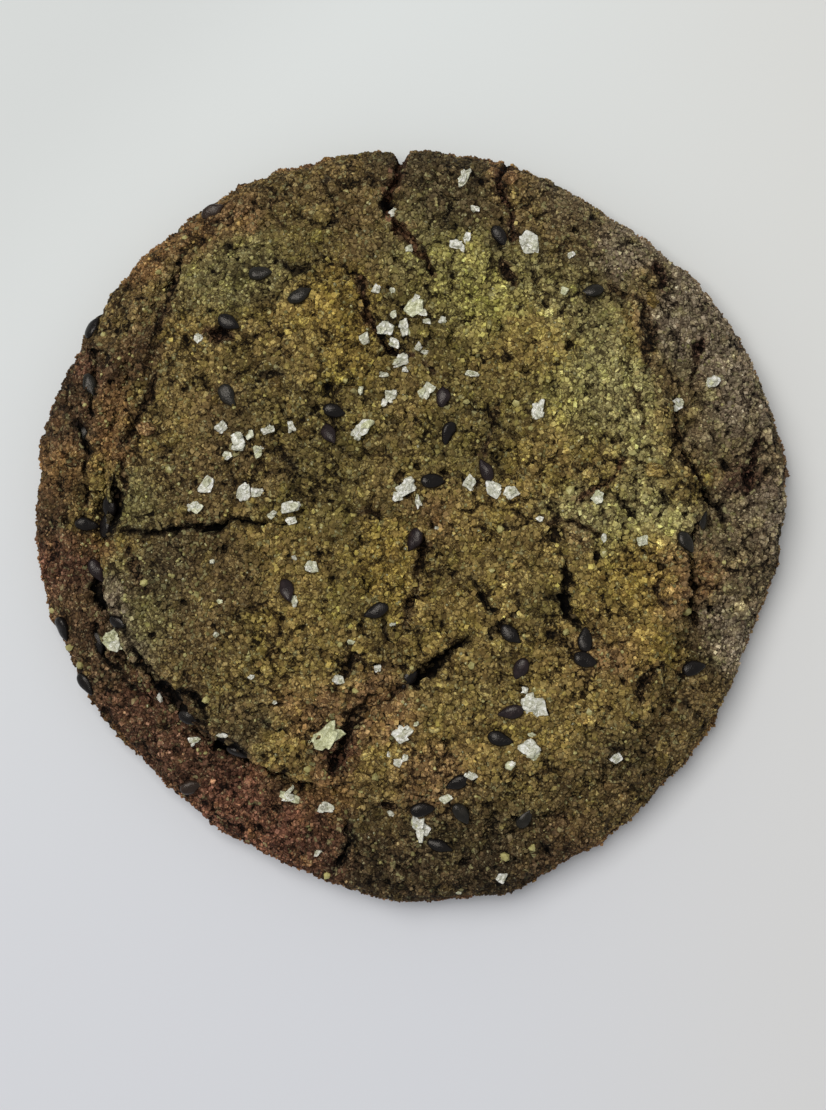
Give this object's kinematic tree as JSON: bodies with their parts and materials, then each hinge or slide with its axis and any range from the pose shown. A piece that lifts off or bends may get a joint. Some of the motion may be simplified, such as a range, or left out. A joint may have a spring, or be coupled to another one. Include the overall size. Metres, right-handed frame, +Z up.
{
  "type": "matcha sesame cookie",
  "caption": "Round craggy green tea cookie with a raised cracked middle, a crumbly browned rim, black sesame seeds and coarse salt flakes on top.",
  "frame": {"origin": "centre of the flat underside, on the surface the cookie rests on", "axes": "+Z up through the cookie, +X to the right of the picture, +Y to its top"},
  "size_m": [0.0902, 0.0902, 0.0156],
  "materials": {
    "crust": "dry baked crumb, olive green browning to reddish brown at the rim",
    "sesame": "black seed coat with a soft sheen",
    "salt": "cloudy white salt flake",
    "sugar": "clear sugar grain tinted by the green dough"
  },
  "bodies": {
    "root": {"cookie": "crust"}
  },
  "joints": []
}
